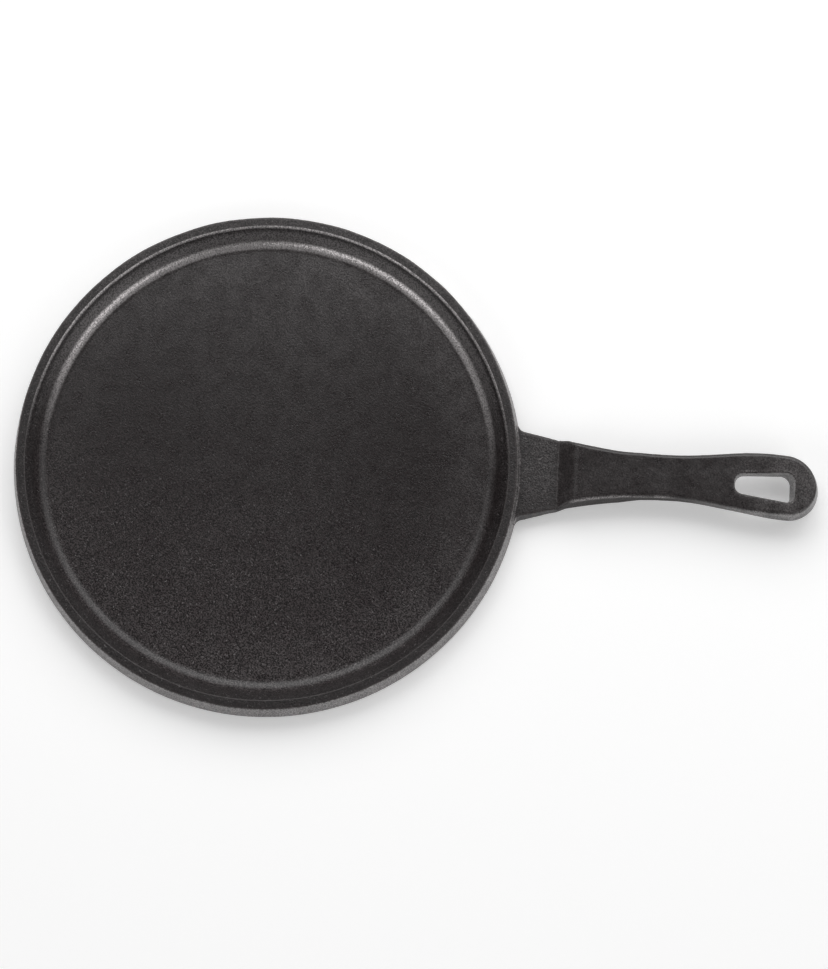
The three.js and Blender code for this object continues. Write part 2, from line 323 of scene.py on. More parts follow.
def cast_skin(piece, depth_at, grain_fineness, wave_fineness=0.06):
    """Pushes each point of the skin in or out by a cast surface's unevenness. depth_at gives, for a place
    in millimetres, the height of its grain and of its long waves. Each fineness is a count a millimetre."""
    mesh = piece.data
    normals = [n.vector.copy() for n in mesh.vertex_normals]
    aslant = Matrix.Rotation(0.7, 3, Vector((0.5, 0.6, 0.4)).normalized())
    roughness, step_to_finer, finer_layers = 1.0, 1.7, 2
    for vertex, normal in zip(mesh.vertices, normals):
        place = vertex.co * 1000
        grain, wave = depth_at(place)
        height = 0.0
        if grain:
            height += grain * noise.fractal(
                aslant @ place * grain_fineness, roughness, step_to_finer, finer_layers)
        if wave:
            height += wave * noise.noise(aslant @ place * wave_fineness)
        vertex.co += normal * height * 0.001


def plate_skin(place):
    """The grain and the waves of the plate. The neck has the coarsest grain. The floor is scraped flat, and
    the underside and the faces that the handle fits are left true."""
    at_the_seat = place.x > JOINT - 1.2 and abs(place.z - NECK_TOP) > 0.3
    if at_the_seat:
        return 0.0, 0.0
    above_the_foot = eased((place.z - 0.8) / 1.5)
    radius = math.hypot(place.x, place.y)
    if radius > RIM_RADIUS + 3:
        return 0.11 * above_the_foot, 0.12 * above_the_foot
    past_the_floor = radius - FLOOR_EDGE
    grain = 0.06 * eased((past_the_floor - 4.7) / 3)
    wave = 0.2 * eased((past_the_floor + 2.8) / 6)
    return grain * above_the_foot, wave * above_the_foot


mark_edges(pan_casting)
cast_skin(pan_casting, plate_skin, grain_fineness=0.55)


def mark(piece, name, value_at):
    """Writes a value at each point of the skin, from its place in millimetres and the way it faces."""
    layer = piece.data.attributes.new(name, "FLOAT", "POINT")
    for vertex, normal in zip(piece.data.vertices, piece.data.vertex_normals):
        layer.data[vertex.index].value = value_at(vertex.co * 1000, normal.vector)


def mixed(a, b, t):
    """A value between two, by a share."""
    return a + (b - a) * t


def steepness(normal):
    """0 on a level face and 1 on a wall."""
    return eased((0.95 - normal.z) / 0.5)


WALL_TOP = RIM_RADIUS - 0.8
WALL_FOOT = RIM_RADIUS + 2.4


def plate_bareness_and_painted_light(place, normal):
    """How much pale iron colour is laid on. Part is grey iron that shows: some on the neck's sides, and a
    little on the rim and on the floor towards its edge and the handle. Part is painted light: the pale outer
    wall is a painted reflection of the white table, and the floor and rim grow lighter towards the far side
    as a painted sheen."""
    radius = math.hypot(place.x, place.y)
    upright = steepness(normal)
    # far: lighter towards the far side, which on the floor and the rim is painted sheen
    far = eased((place.y - 5) / 115)
    if place.z < 1:
        return 0.02
    if radius < FLOOR_EDGE + 2:
        beside = eased((abs(place.x) - 15) / 55)
        outer_band = eased((radius - FLOOR_EDGE + 32.8) / 24)
        return 0.045 * far + 0.012 * (1 - beside) + (0.026 + 0.00012 * place.x) * outer_band
    if radius < WALL_TOP:
        return 0.05 * far * (1 - upright) + 0.034 * upright
    if radius < WALL_FOOT:
        # The pale outer wall is a painted reflection of the white table
        return max(0.38 * upright, 0.05 * far)
    before_the_joint = eased((JOINT - 0.5 - place.x) / 2.5)
    # The neck's top is paler on its far half than along its near edge
    neck_top = 0.025 + 0.03 * eased((place.y + 15) / 14)
    return mixed(neck_top, 0.09, upright) * before_the_joint


def coarseness(place, normal):
    """The rim, the walls, the neck and the underside keep the grain of the sand."""
    up_the_inner_wall = eased((math.hypot(place.x, place.y) - FLOOR_EDGE - 2.7) / 3.5)
    return up_the_inner_wall if place.z > 2 else 1.0


def polish(place, normal):
    """The round at the edge of the floor and the rim's inner edge, polished by the spatula, which works
    mostly against the far side. The outer wall is brightened by the hob and the shelf that it rubs on."""
    radius = math.hypot(place.x, place.y)
    if place.z < 1 or radius > WALL_FOOT:
        return 0.0
    if radius > WALL_TOP:
        return 0.26 * steepness(normal)
    if place.z < 5:
        return 0.0
    past_the_floor, before_the_rim = radius - FLOOR_EDGE, RIM_INSIDE - radius
    less_up_the_wall = mixed(1, 0.2, eased((past_the_floor - 1.0) / 1.6))
    fillet = eased((past_the_floor + 2.2) / 2.0) * less_up_the_wall * eased((before_the_rim - 1.3) / 2)
    rim_edge = eased((0.7 - before_the_rim) / 0.3) * (1 - eased((-before_the_rim - 0.1) / 0.3))
    far = eased((place.y + 25) / 100)
    return max(fillet, rim_edge if place.z > 13 else 0.0) * far ** 2


def pitting(place, normal):
    """The floor is pitted most on the side near the cook and away from the handle."""
    on_floor = 1 - eased((math.hypot(place.x, place.y) - FLOOR_EDGE - 2.2) / 3)
    return eased(0.27 - (0.2 * place.x + place.y) / 160) * on_floor


mark(pan_casting, "bare_iron_and_painted_light", plate_bareness_and_painted_light)
mark(pan_casting, "pitting", pitting)
mark(pan_casting, "coarseness", coarseness)
mark(pan_casting, "polish", polish)


def group(name, inputs, outputs):
    """A shader node group with named values in and named values out."""
    tree = bpy.data.node_groups.new(name, "ShaderNodeTree")
    for label, value in inputs:
        tree.interface.new_socket(label, in_out="INPUT", socket_type="NodeSocketFloat").default_value = value
    for label in outputs:
        tree.interface.new_socket(label, in_out="OUTPUT", socket_type="NodeSocketFloat")
    return tree, tree.nodes.new("NodeGroupInput"), tree.nodes.new("NodeGroupOutput")


def in_millimetres(tree):
    """Object coordinates in millimetres, turned aslant so that no flat face lies along the noise's grid."""
    place = tree.nodes.new("ShaderNodeTexCoord")
    size = tree.nodes.new("ShaderNodeMapping")
    size.inputs["Scale"].default_value = (1000.0, 1000.0, 1000.0)
    size.inputs["Rotation"].default_value = (0.5, 0.3, 0.7)
    tree.links.new(place.outputs["Object"], size.inputs["Vector"])
    return size.outputs["Vector"]


def arithmetic(tree, operation, a, b, clamp=False):
    """One sum of two values, each a number or an output."""
    node = tree.nodes.new("ShaderNodeMath")
    node.operation = operation
    node.use_clamp = clamp
    for socket, value in zip(node.inputs, (a, b)):
        if isinstance(value, (int, float)):
            socket.default_value = value
        else:
            tree.links.new(value, socket)
    return node.outputs["Value"]


def ranged(tree, value, low, high, to_low=0.0, to_high=1.0):
    """A value that goes smoothly from to_low to to_high while another goes from low to high."""
    node = tree.nodes.new("ShaderNodeMapRange")
    node.interpolation_type = "SMOOTHSTEP"
    tree.links.new(value, node.inputs["Value"])
    for label, number in (("From Min", low), ("From Max", high), ("To Min", to_low), ("To Max", to_high)):
        node.inputs[label].default_value = number
    return node.outputs["Result"]


def noisy(tree, coordinates, scale, detail, roughness):
    """Cloudy noise, with its scale in clouds a millimetre."""
    node = tree.nodes.new("ShaderNodeTexNoise")
    tree.links.new(coordinates, node.inputs["Vector"])
    node.inputs["Scale"].default_value = scale
    node.inputs["Detail"].default_value = detail
    node.inputs["Roughness"].default_value = roughness
    return node.outputs["Fac"]


def read(tree, name):
    """The value that a mark left at the point."""
    node = tree.nodes.new("ShaderNodeAttribute")
    node.attribute_name = name
    return node.outputs["Fac"]


# The skin that sand leaves on iron: close pebbles and grains with a finer tooth, lighter where they stand
# up, with a few pale specks, and a slow mottle from uneven heat
sand_skin, skin_in, skin_out = group(
    "sand_skin", [("Contrast", 0.6)], ["Height", "Tone", "Specks", "Mottle"])
millimetres = in_millimetres(sand_skin)
pebbles = sand_skin.nodes.new("ShaderNodeTexVoronoi")
pebbles.feature = "SMOOTH_F1"
pebbles.inputs["Scale"].default_value = 1.0
pebbles.inputs["Smoothness"].default_value = 0.6
sand_skin.links.new(millimetres, pebbles.inputs["Vector"])
pebble_height = ranged(sand_skin, pebbles.outputs["Distance"], 0.75, 0.05)
grain = noisy(sand_skin, millimetres, scale=1.3, detail=2.0, roughness=0.6)
grain = ranged(sand_skin, grain, 0.25, 0.75)
tooth = noisy(sand_skin, millimetres, scale=1.9, detail=3.0, roughness=0.6)
specks = noisy(sand_skin, millimetres, scale=0.9, detail=3.0, roughness=0.7)
specks = ranged(sand_skin, specks, 0.585, 0.70)
sand_skin.links.new(specks, skin_out.inputs["Specks"])
pebble_share, grain_share, speck_share, middle_tone = 0.5, 0.6, 0.8, 0.42
rising = arithmetic(sand_skin, "ADD", arithmetic(sand_skin, "MULTIPLY", pebble_height, pebble_share), tooth)
rising = arithmetic(sand_skin, "ADD", rising, arithmetic(sand_skin, "MULTIPLY", grain, grain_share))
rising = arithmetic(sand_skin, "ADD", rising, arithmetic(sand_skin, "MULTIPLY", specks, speck_share))
sand_skin.links.new(rising, skin_out.inputs["Height"])
spread = arithmetic(sand_skin, "SUBTRACT", grain, 0.5)
spread = arithmetic(sand_skin, "MULTIPLY", spread, skin_in.outputs["Contrast"])
tone = arithmetic(sand_skin, "ADD", spread, middle_tone, clamp=True)
sand_skin.links.new(tone, skin_out.inputs["Tone"])
mottle = noisy(sand_skin, millimetres, scale=0.11, detail=3.0, roughness=0.5)
sand_skin.links.new(mottle, skin_out.inputs["Mottle"])

# Edges that cloths and spatulas rub: the oil crust is thin there and the grey of the iron comes through
rubbed_edge, rubbed_in, rubbed_out = group("rubbed_edge", [("Width", 0.5), ("Breaks", 0.5)], ["Worn"])
bare = read(rubbed_edge, "rubbed")
breaks = noisy(rubbed_edge, in_millimetres(rubbed_edge), scale=0.6, detail=4.0, roughness=0.6)
breaks = ranged(rubbed_edge, breaks, 0.35, 0.62)
broken = arithmetic(rubbed_edge, "MULTIPLY", breaks, rubbed_in.outputs["Breaks"])
shown = arithmetic(rubbed_edge, "ADD", broken, rubbed_in.outputs["Width"], clamp=True)
rubbed_edge.links.new(arithmetic(rubbed_edge, "MULTIPLY", bare, shown), rubbed_out.inputs["Worn"])


def placed(tree, node_group, **values):
    """A node group placed in a material, with the material's own values."""
    node = tree.nodes.new("ShaderNodeGroup")
    node.node_tree = node_group
    for label, value in values.items():
        node.inputs[label].default_value = value
    return node


def blended(tree, factor, a, b):
    """A colour between two, by a factor from the surface."""
    node = tree.nodes.new("ShaderNodeMix")
    node.data_type = "RGBA"
    tree.links.new(factor, node.inputs["Factor"])
    first_colour, second_colour = node.inputs[6], node.inputs[7]
    for socket, value in ((first_colour, a), (second_colour, b)):
        if isinstance(value, tuple):
            socket.default_value = (*value, 1.0)
        else:
            tree.links.new(value, socket)
    mixed_colour = node.outputs[2]
    return mixed_colour


def new_material(name):
    material = bpy.data.materials.new(name)
    material.use_nodes = True
    return material, material.node_tree, material.node_tree.nodes["Principled BSDF"]


def raised(tree, shader, height, depth):
    """Gives the surface a relief from a height, with its depth in millimetres."""
    node = tree.nodes.new("ShaderNodeBump")
    node.inputs["Strength"].default_value = 1.0
    node.inputs["Distance"].default_value = depth * 0.001
    tree.links.new(height, node.inputs["Height"])
    tree.links.new(node.outputs["Normal"], shader.inputs["Normal"])


# Cast iron under a crust of burnt oil: the crust is thin on the grains that stand up, thinner where the
# floor is pitted, gone in specks and on rubbed places, and polished to bright metal round the floor.
# The pale iron colour also paints light: a painted sheen towards the far side of the floor and rim, and
# a painted reflection of the white table on the outer wall
OLD_OIL, THICK_OIL = (0.0036, 0.0020, 0.0021), (0.0056, 0.0036, 0.0037)
THIN_OIL, PITTED_OIL = (0.0225, 0.0165, 0.0170), (0.0490, 0.0400, 0.0410)
RUBBED_OIL = (0.034, 0.028, 0.028)
# PALE_IRON also paints the white table's reflection on the outer wall and the sheen towards the far side
DARK_IRON, PALE_IRON = (0.080, 0.075, 0.075), (0.640, 0.610, 0.610)
POLISHED_IRON = (0.700, 0.665, 0.666)

seasoned_iron, tree, shader = new_material("seasoned_iron")
pitted = read(tree, "pitting")
coarse = read(tree, "coarseness")
skin = placed(tree, sand_skin)
unevenness = arithmetic(tree, "MAXIMUM", pitted, arithmetic(tree, "MULTIPLY", coarse, 0.8))
tree.links.new(ranged(tree, unevenness, 0.0, 1.0, 1.1, 2.7), skin.inputs["Contrast"])
edge = placed(tree, rubbed_edge, Width=0.35, Breaks=0.8)
tone = skin.outputs["Tone"]
speck_strength = ranged(tree, unevenness, 0.0, 1.0, 0.02, 0.24)
specks = arithmetic(tree, "MULTIPLY", skin.outputs["Specks"], speck_strength)
patches = ranged(tree, skin.outputs["Mottle"], 0.38, 0.62, 0.7, 1.3)
# The mark read here is partly bare iron and partly painted light: far-side sheen and the outer wall's painted
# reflection
bareness_and_painted_light = arithmetic(tree, "MULTIPLY", read(tree, "bare_iron_and_painted_light"), patches)
bareness_and_painted_light = arithmetic(tree, "ADD", bareness_and_painted_light, specks, clamp=True)
polished = arithmetic(tree, "MULTIPLY", read(tree, "polish"), ranged(tree, tone, 0.0, 0.7, 0.35, 1.0))
dull = blended(tree, skin.outputs["Mottle"], OLD_OIL, THICK_OIL)
light = blended(tree, pitted, THIN_OIL, PITTED_OIL)
covered = arithmetic(tree, "MULTIPLY", coarse, 0.15)
crust = blended(tree, arithmetic(tree, "SUBTRACT", tone, covered, clamp=True), dull, light)
raw_iron_and_painted_light = blended(tree, tone, DARK_IRON, PALE_IRON)
colour = blended(tree, edge.outputs["Worn"], crust, RUBBED_OIL)
colour = blended(tree, bareness_and_painted_light, colour, raw_iron_and_painted_light)
colour = blended(tree, polished, colour, POLISHED_IRON)
tree.links.new(colour, shader.inputs["Base Color"])
tree.links.new(polished, shader.inputs["Metallic"])
gloss = ranged(tree, skin.outputs["Mottle"], 0.3, 0.7, 0.27, 0.31)
gloss = arithmetic(tree, "ADD", gloss, ranged(tree, coarse, 0.0, 1.0, 0.0, 0.11))
tree.links.new(gloss, shader.inputs["Roughness"])
shader.inputs["Specular IOR Level"].default_value = 0.44
coarser = ranged(tree, coarse, 0.0, 1.0, 1.0, 2.4)
relief = arithmetic(tree, "MULTIPLY", skin.outputs["Height"], coarser)
raised(tree, shader, relief, depth=0.045)


def finished(piece, material, node, crease=34):
    """Smooths a piece except at its creases, gives it its material, and says what it stands for."""
    for polygon in piece.data.polygons:
        polygon.use_smooth = True
    piece.data.set_sharp_from_angle(angle=math.radians(crease))
    piece.data.materials.clear()
    piece.data.materials.append(material)
    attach(piece, "root")
    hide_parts(node)


finished(pan_casting, seasoned_iron, "pan")


# The handle is a second casting, smoother than the plate because its mould was dressed with finer sand.
# It ramps up from the neck, thins to a waist and widens to an end with a slot to hang it by. A socket
# under its root drops over the tang, and its underside is hollowed to save iron.

HANDLE_LENGTH = 134.4
RAMP_LENGTH = 8.6
RAMP_RISE = 6.0
RAMP_STEP = 0.12
RAMP_LIP = 0.1
CREASE_EASE = 0.3  # a share of the ramp's length
WAIST_WIDTH = 24.0
WAIST_DISTANCE = 54.0
WAIST_FLARE = 1.85
WAIST_THICKNESS = 7.6
THINNING_LENGTH = 14.0
THICKENING_START = 90.0
SWELL_START = 59.0
SWELL_TO_END = 22.0
END_WIDTH = 33.7
END_THICKNESS = 11.8
END_CENTRE = HANDLE_LENGTH - END_WIDTH / 2
HANDLE_RISE = 2.2
HANDLE_SHIFT = 0.85
SHIFT_LENGTH = 5.0
HANDLE_LEAN = 4.0
TOP_ROUND = 2.0
FOOT_ROUND = 2.0
SEAT_GAP = 0.04
SLOT_TO_END = 12.2
SLOT_LENGTH = 31.5
SLOT_START = HANDLE_LENGTH - SLOT_TO_END - SLOT_LENGTH
SLOT_INNER_WIDTH = 9.8
SLOT_OUTER_WIDTH = 16.4
SLOT_START_DRAFT = 0.10
SLOT_END_DRAFT = 0.20
SLOT_CORNER = 4.6
SLOT_OFFSET = 1.35
SLOT_LIP = 0.8


def handle_half_width(d):
    """Half the handle's width at a distance from its joint with the neck."""
    flare = max(1 - d / WAIST_DISTANCE, 0.0) ** WAIST_FLARE
    swell = eased((d - SWELL_START) / (HANDLE_LENGTH - SWELL_TO_END - SWELL_START))
    return (WAIST_WIDTH + (NECK_WIDTH - WAIST_WIDTH) * flare + (END_WIDTH - WAIST_WIDTH) * swell) / 2


def handle_middle(d):
    """The handle sits to one side on the neck, starting flush with it, and its end leans to the other."""
    return HANDLE_SHIFT * eased(d / SHIFT_LENGTH) - HANDLE_LEAN * (max(d, 0.0) / HANDLE_LENGTH) ** 3


def handle_top(d):
    return NECK_TOP + RAMP_RISE + HANDLE_RISE * eased(d / HANDLE_LENGTH)


def handle_face(d):
    """The top face with its ramp. The crease at the ramp's head and the front lip are eased by hand."""
    climb = max(d, 0.0) / RAMP_LENGTH
    if abs(climb - 1) < CREASE_EASE:
        climb = 1 - (1 + CREASE_EASE - climb) ** 2 / (4 * CREASE_EASE)
    from_lip = min(max(d - SEAT_GAP, 0.0), RAMP_LIP)
    drop = RAMP_LIP - math.sqrt(RAMP_LIP ** 2 - (RAMP_LIP - from_lip) ** 2)
    return handle_top(d) - (RAMP_RISE - RAMP_STEP) * (1 - min(climb, 1.0)) - drop


def handle_underside(d):
    thinning = eased((d - TANG_LENGTH - CLEARANCE) / THINNING_LENGTH)
    thickening = eased((d - THICKENING_START) / (HANDLE_LENGTH - SLOT_TO_END - THICKENING_START))
    root = RAMP_RISE + NECK_TOP - TANG_UNDERSIDE
    thickness = root + (WAIST_THICKNESS - root) * thinning + (END_THICKNESS - WAIST_THICKNESS) * thickening
    return handle_top(d) - thickness


def leaning_in(d):
    """How far the drafted wall has leaned in between its two rounds."""
    return (handle_face(d) - TOP_ROUND - FOOT_ROUND - handle_underside(d)) * DRAFT


# The handle's outline at its widest level, with its stations close together on the ramp
RAMP_STATIONS, RAMP_SPACING = 24, 0.35
GRIP_SPACING = 1.0
ROUND_THE_TIP = 46
ACROSS = 22
stations = [SEAT_GAP + RAMP_SPACING * i for i in range(RAMP_STATIONS)]
while stations[-1] < END_CENTRE - GRIP_SPACING:
    stations.append(stations[-1] + GRIP_SPACING)
widest = [Vector((d, handle_half_width(d))) for d in stations]
for i in range(ROUND_THE_TIP):
    turn = i * math.pi / (2 * ROUND_THE_TIP)
    widest.append(Vector((END_CENTRE + math.sin(turn) * END_WIDTH / 2, math.cos(turn) * END_WIDTH / 2)))


def handle_ring(inset_at, height_at, set_back):
    """One level of the handle: out along its left side, round the tip, back along its right side, and
    across the front, which can be set back a little."""
    side = []
    for i, p in enumerate(widest):
        inset = inset_at(p.x)
        if i < len(stations):
            ahead = widest[i + 1]
            slope = (ahead.y - p.y) / (ahead.x - p.x)
            side.append(Vector((p.x, p.y - inset * math.hypot(1, slope))))
        else:
            centre = Vector((END_CENTRE, 0.0))
            side.append(p - (p - centre).normalized() * inset)
    side[0].x += set_back
    tip = Vector((HANDLE_LENGTH - inset_at(HANDLE_LENGTH), 0.0))
    back = [Vector((p.x, -p.y)) for p in reversed(side)]
    front = [back[-1].lerp(side[0], (i + 1) / (ACROSS + 1)) for i in range(ACROSS)]
    return [(JOINT + p.x, p.y + handle_middle(p.x), height_at(p.x)) for p in side + [tip] + back + front]


def handle_cap(points, faces, ring, height_at):
    """Closes a level with rows of points from side to side, so that the face can take a cast unevenness."""
    count = len(widest)
    rows = [[ring[0]] + list(reversed(ring[2 * count + 1:])) + [ring[2 * count]]]
    for i in range(1, count):
        left, right = Vector(points[ring[i]]), Vector(points[ring[2 * count - i]])
        row = [ring[i]]
        for k in range(ACROSS):
            p = left.lerp(right, (k + 1) / (ACROSS + 1))
            row.append(len(points))
            points.append((p.x, p.y, height_at(p.x - JOINT)))
        rows.append(row + [ring[2 * count - i]])
    for near, far in zip(rows, rows[1:]):
        faces.extend([near[k], near[k + 1], far[k + 1], far[k]] for k in range(ACROSS + 1))
    faces.extend([rows[-1][k], rows[-1][k + 1], ring[count]] for k in range(ACROSS + 1))


# The levels from the underside up: the foot's round, the drafted wall, and the round of the top edge
FLAT_MARGIN = 0.4  # how far the flat faces reach before a round starts
FRONT_SET_BACK = 0.2
ROUND_LEVELS, WALL_LEVELS = 8, 6
quarter_turns = [s * math.pi / (2 * ROUND_LEVELS) for s in range(ROUND_LEVELS + 1)]
levels = [(lambda d: FOOT_ROUND + FLAT_MARGIN, handle_underside)]
for turn in quarter_turns:
    levels.append((
        lambda d, turn=turn: FOOT_ROUND * (1 - math.sin(turn)),
        lambda d, turn=turn: handle_underside(d) + FOOT_ROUND * (1 - math.cos(turn)),
    ))
for s in range(1, WALL_LEVELS):
    levels.append((
        lambda d, s=s: leaning_in(d) * s / WALL_LEVELS,
        lambda d, s=s: mixed(handle_underside(d) + FOOT_ROUND, handle_face(d) - TOP_ROUND, s / WALL_LEVELS),
    ))
for turn in quarter_turns:
    levels.append((
        lambda d, turn=turn: leaning_in(d) + TOP_ROUND * (1 - math.cos(turn)),
        lambda d, turn=turn: handle_face(d) - TOP_ROUND * (1 - math.sin(turn)),
    ))
levels.append((lambda d: leaning_in(d) + TOP_ROUND + FLAT_MARGIN, handle_face))
handle_points, handle_faces, handle_rings = [], [], []
for inset_at, height_at in levels:
    flat_face = height_at in (handle_underside, handle_face)
    ring = handle_ring(inset_at, height_at, FRONT_SET_BACK if flat_face else 0.0)
    handle_rings.append(list(range(len(handle_points), len(handle_points) + len(ring))))
    handle_points += ring
for low, high in zip(handle_rings, handle_rings[1:]):
    for i in range(len(low)):
        j = (i + 1) % len(low)
        handle_faces.append([low[i], low[j], high[j], high[i]])
handle_cap(handle_points, handle_faces, handle_rings[0], handle_underside)
handle_cap(handle_points, handle_faces, handle_rings[-1], handle_face)
handle_casting = made("handle_casting", handle_points, handle_faces)


def slot_ring(drop, lip):
    """The slot at a drop below the top, widened by a lip. Its sides are upright and its ends close in
    below."""
    start = SLOT_START + drop * SLOT_START_DRAFT - lip
    end = SLOT_START + SLOT_LENGTH - drop * SLOT_END_DRAFT + lip
    narrow, wide = SLOT_INNER_WIDTH / 2 + lip, SLOT_OUTER_WIDTH / 2 + lip
    arc_steps = 12
    outline = with_sides(rounded([
        (start, -narrow, SLOT_CORNER + lip),
        (end, -wide, SLOT_CORNER + lip),
        (end, wide, SLOT_CORNER + lip),
        (start, narrow, SLOT_CORNER + lip),
    ], arc_steps), arc_steps, counts=(16, 4, 16, 2))
    return [(JOINT + p.x, p.y + handle_middle(p.x) - SLOT_OFFSET, handle_top(p.x) - drop) for p in outline]


THROUGH = 2.0  # how far the cutter reaches past each face
SLOT_WALL_LEVELS = 8
slot_levels = []
for i in range(SLOT_WALL_LEVELS):
    slot_levels.append((mixed(END_THICKNESS + THROUGH, SLOT_LIP, i / SLOT_WALL_LEVELS), 0))
slot_levels += [(SLOT_LIP * (1 - math.sin(turn)), SLOT_LIP * (1 - math.cos(turn))) for turn in quarter_turns]
slot_levels.append((-THROUGH, SLOT_LIP))
slot = skinned("slot", [slot_ring(drop, lip) for drop, lip in slot_levels])

HOLLOW_MARGIN = 7.0
HOLLOW_WALL = 4.2
HOLLOW_END = 8.0
HOLLOW_STEPS = 60


def hollow_ring(inset, lift):
    """The hollow under the handle at a lift above its underside, with its ends rounded."""
    start, end = TANG_LENGTH + CLEARANCE + HOLLOW_MARGIN, SLOT_START - HOLLOW_MARGIN
    side = []
    for i in range(HOLLOW_STEPS + 1):
        d = mixed(start + inset, end - inset, (1 - math.cos(math.pi * i / HOLLOW_STEPS)) / 2)
        to_end = min(max(min(d - start - inset, end - inset - d) / HOLLOW_END, 0.0), 1.0)
        half = handle_half_width(d) - HOLLOW_WALL - inset
        side.append(Vector((d, half * math.sqrt(1 - (1 - to_end) ** 2))))
    outline = side + [Vector((p.x, -p.y)) for p in reversed(side[1:-1])]
    return [(JOINT + p.x, p.y + handle_middle(p.x), handle_underside(p.x) + lift) for p in outline]


# How far the hollow's wall stands in, and how high it is there: a rounded mouth, a wall and a round roof
hollow_levels = [(-0.4, -1.0), (-0.4, -0.02), (-0.25, 0.12), (0.0, 0.4), (0.15, 0.9), (0.35, 1.4), (0.8, 1.9),
                 (1.5, 2.25), (2.4, 2.4)]
hollow = skinned("hollow", [hollow_ring(inset, lift) for inset, lift in hollow_levels])
socket = block("socket", tongue(CLEARANCE), 0, NECK_TOP)
combined(handle_casting, "DIFFERENCE", socket, screw_hole(), slot, hollow)


def handle_skin(place):
    """The grain and the waves of the handle. Its front and its socket are left true to fit the neck."""
    in_the_socket = place.x < JOINT + TANG_LENGTH + 1.5 and place.z < NECK_TOP + 0.2
    if place.x < JOINT + 0.9 or in_the_socket:
        return 0.0, 0.0
    return 0.06, 0.16


mark_edges(handle_casting)
cast_skin(handle_casting, handle_skin, grain_fineness=0.28)


def handle_bareness_and_painted_light(place, normal):
    """Grey iron in the slot, a little on all walls, along the foot of the root and a little on the ramp,
    where the hand and the hook rub. The rest is painted light: a pale line along the near top edge of the
    root is a painted highlight, the near wall grows pale towards the end as a painted reflection of the white
    table, and the top grows lighter near the end as a painted sheen."""
    d = place.x - JOINT
    upright = steepness(normal)
    edge_line = 1 - eased(abs(handle_face(d) - place.z - 1.2) / 1.3)
    # A pale line along the near top edge of the root: painted highlight
    near_edge_highlight = eased((d - 5) / 3) * (1 - eased((d - 45) / 25)) * eased(-normal.y * 3) * edge_line
    past_the_slot = abs(d - SLOT_START - SLOT_LENGTH / 2) - SLOT_LENGTH / 2
    beside_the_slot = abs(place.y - handle_middle(d) + SLOT_OFFSET) - SLOT_OUTER_WIDTH / 2
    in_slot = 0.6 * upright if past_the_slot < 2.25 and beside_the_slot < 1 else 0.0
    # The near wall grows pale towards the end: painted reflection of the white table
    near_side_reflection = eased(0.3 - normal.y * 1.5)
    wall = (0.04 + 0.46 * eased((d - 60) / 55) * near_side_reflection) * upright * eased((d - 1) / 6)
    # The top grows lighter towards the end: painted sheen
    on_top = 0.02 + 0.022 * (1 - eased((d - 5) / 5)) + 0.08 * eased((d - 80) / 40)
    above_the_foot = 1 - eased(abs(place.z - handle_underside(d) - 1.4) / 0.8)
    foot_line = 0.5 * eased((d - 6) / 6) * (1 - eased((d - 55) / 20)) * above_the_foot * upright
    return max(near_edge_highlight, in_slot, wall, on_top, foot_line)


def soot(place, normal):
    """Matt soot on the walls towards the plate. On the ramp it is below nothing, for the oil has baked there
    to a gloss."""
    d = place.x - JOINT
    upright = steepness(normal)
    baked = -0.12 * (1 - eased((d - RAMP_LENGTH) / 5)) * (1 - upright)
    return baked + upright * (1 - eased((d - 50) / 40))


mark(handle_casting, "bare_iron_and_painted_light", handle_bareness_and_painted_light)
mark(handle_casting, "soot", soot)

# The same crust of oil as on the plate, but finer and more even: thin on the top edges, and rubbed through
# to the iron in the slot and along the walls. The pale iron colour also paints light: a painted highlight
# along the near top edge, a painted reflection of the white table on the near wall towards the end, and a
# painted sheen on top near the end
HANDLE_OLD_OIL, HANDLE_THICK_OIL = (0.0050, 0.0034, 0.0035), (0.0070, 0.0050, 0.0051)
HANDLE_THIN_OIL, HANDLE_RUBBED_OIL = (0.0300, 0.0240, 0.0244), (0.080, 0.073, 0.073)
# HANDLE_PALE_IRON also paints the near edge highlight, the near wall's reflection and the sheen near the end
HANDLE_DARK_IRON, HANDLE_PALE_IRON = (0.060, 0.056, 0.056), (0.600, 0.570, 0.570)

smooth_iron, tree, shader = new_material("smooth_iron")
skin = placed(tree, sand_skin, Contrast=1.1)
edge = placed(tree, rubbed_edge, Width=0.1, Breaks=0.3)
dull = blended(tree, skin.outputs["Mottle"], HANDLE_OLD_OIL, HANDLE_THICK_OIL)
crust = blended(tree, skin.outputs["Tone"], dull, HANDLE_THIN_OIL)
colour = blended(tree, edge.outputs["Worn"], crust, HANDLE_RUBBED_OIL)
raw_iron_and_painted_light = blended(tree, skin.outputs["Tone"], HANDLE_DARK_IRON, HANDLE_PALE_IRON)
patches = ranged(tree, skin.outputs["Mottle"], 0.38, 0.62, 0.6, 1.4)
# The mark read here is partly bare iron and partly painted highlight, reflection and sheen
bareness_and_painted_light = arithmetic(tree, "MULTIPLY", read(tree, "bare_iron_and_painted_light"), patches, clamp=True)
colour = blended(tree, bareness_and_painted_light, colour, raw_iron_and_painted_light)
tree.links.new(colour, shader.inputs["Base Color"])
gloss = ranged(tree, skin.outputs["Mottle"], 0.3, 0.7, 0.27, 0.31)
gloss = arithmetic(tree, "ADD", gloss, arithmetic(tree, "MULTIPLY", read(tree, "soot"), 0.35))
tree.links.new(gloss, shader.inputs["Roughness"])
shader.inputs["Specular IOR Level"].default_value = 0.5
raised(tree, shader, skin.outputs["Height"], depth=0.03)

finished(handle_casting, smooth_iron, "handle")


# One slotted countersunk screw holds the handle down on the tang. It is a turned steel screw, blackened
# by heat and oil, driven in from below until its head is level with the tang.

